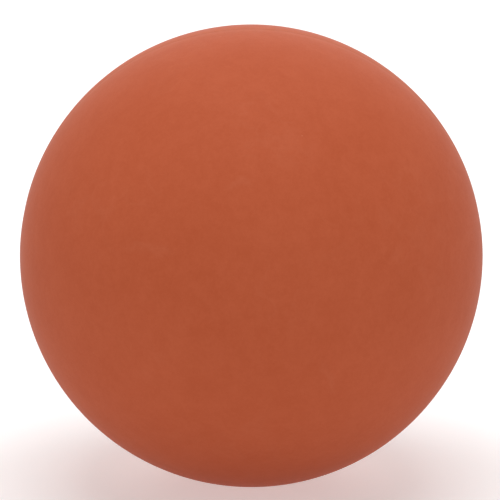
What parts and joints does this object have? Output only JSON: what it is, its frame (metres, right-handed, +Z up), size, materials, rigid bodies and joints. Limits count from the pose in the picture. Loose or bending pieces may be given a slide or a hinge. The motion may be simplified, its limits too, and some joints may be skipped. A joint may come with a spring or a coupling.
{
  "type": "hollow rubber paddle ball",
  "caption": "Smooth hollow rubber ball for paddle and racket games, moulded as half shells and cemented along a seam round its middle.",
  "frame": {"origin": "centre of the ball", "axes": "+Y through the poles of the two half shells, square to the seam plane, from the front half shell to the rear one; +Z up, with the lowest point of the ball at -Z"},
  "size_m": [0.0572, 0.0572, 0.0572],
  "materials": {
    "shell_rubber": "matte",
    "seam_cement": "satin"
  },
  "bodies": {
    "root": {"front_half_shell": "shell_rubber", "rear_half_shell": "shell_rubber", "seam_cement": "seam_cement"}
  },
  "joints": []
}
